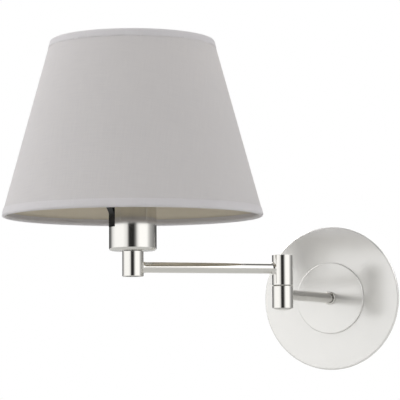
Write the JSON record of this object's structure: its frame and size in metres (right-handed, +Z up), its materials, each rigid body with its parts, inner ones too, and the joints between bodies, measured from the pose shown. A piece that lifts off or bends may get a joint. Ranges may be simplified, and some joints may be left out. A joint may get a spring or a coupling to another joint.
{
  "type": "swing-arm wall lamp",
  "caption": "Wall lamp with a round wall plate, a fixed short arm, a hinged long arm and a tapered fabric shade over a cup with a rocker switch.",
  "frame": {"origin": "centre of the wall bracket's back face, on the wall, level with the short arm's axis", "axes": "+Z is up, +Y points into the wall, so the lamp stands out towards -Y; +X is to the right of someone facing the wall"},
  "size_m": [0.3095, 0.3598, 0.3125],
  "materials": {
    "satin_nickel": "satin nickel plate",
    "zinc_plate": "zinc plate",
    "brass": "bare, turned or stamped",
    "white_steel": "white powder coat",
    "shade_fabric": "off-white woven cloth on a stiff lining",
    "black_plastic": "semi-gloss moulding",
    "white_plastic": "semi-gloss moulding",
    "porcelain": "glazed",
    "nylon": "natural moulding",
    "lead_jacket": "silicone sleeve",
    "frosted_dome": "frosted"
  },
  "bodies": {
    "wall_side": {"wall_bracket": "zinc_plate", "cover_screw_top": "zinc_plate", "cover_screw_bottom": "zinc_plate", "earth_screw": "brass", "terminal_block": "white_plastic", "terminal_screw_1": "brass", "terminal_screw_2": "brass", "terminal_screw_3": "brass", "cover_plate": "satin_nickel", "cover_skirt": "satin_nickel", "arm_flange": "satin_nickel", "flange_screw_1": "zinc_plate", "flange_screw_2": "zinc_plate", "flange_screw_3": "zinc_plate", "arm_collar": "satin_nickel", "short_arm_tube": "satin_nickel", "lead_wall_arm": "lead_jacket", "lower_barrel": "satin_nickel", "hinge_cap_bottom": "satin_nickel", "hinge_pin": "zinc_plate", "friction_washer": "nylon", "stop_pin": "zinc_plate", "wave_washer": "zinc_plate", "hinge_nut": "zinc_plate"},
    "outer_arm": {"upper_barrel": "satin_nickel", "hinge_cap_top": "satin_nickel", "long_arm_tube": "satin_nickel", "lead_long_arm": "lead_jacket", "hub_barrel": "satin_nickel", "hub_plug": "satin_nickel", "hub_nut": "zinc_plate", "threaded_tube": "zinc_plate", "cup": "satin_nickel", "cup_washer": "zinc_plate", "cup_nut": "zinc_plate", "switch_housing": "black_plastic", "switch_tab_1": "brass", "switch_tab_2": "brass", "switch_wire_1": "lead_jacket", "switch_wire_2": "lead_jacket", "lampholder_base": "white_plastic", "lampholder_shell": "white_plastic", "lampholder_insert": "porcelain", "screw_contact": "brass", "centre_contact": "brass", "ring_nut": "white_plastic", "bulb_cap": "zinc_plate", "bulb_body": "white_plastic", "bulb_dome": "frosted_dome", "shade_fabric": "shade_fabric", "shade_frame": "white_steel", "shade_top_ring": "white_steel"},
    "rocker": {"switch_rocker": "black_plastic"}
  },
  "joints": [
    {"name": "arm_swing", "type": "hinge", "parent": "wall_side", "child": "outer_arm", "pos_m": [0, -0.141, 0], "axis": [0, 0, 1], "range_deg": [-40, 140]},
    {"name": "switch_rock", "type": "hinge", "parent": "outer_arm", "child": "rocker", "pos_m": [-0.12442, -0.24857, 0.0768], "axis": [-0.7455, 0.6665, 0], "range_deg": [0, 26]}
  ]
}
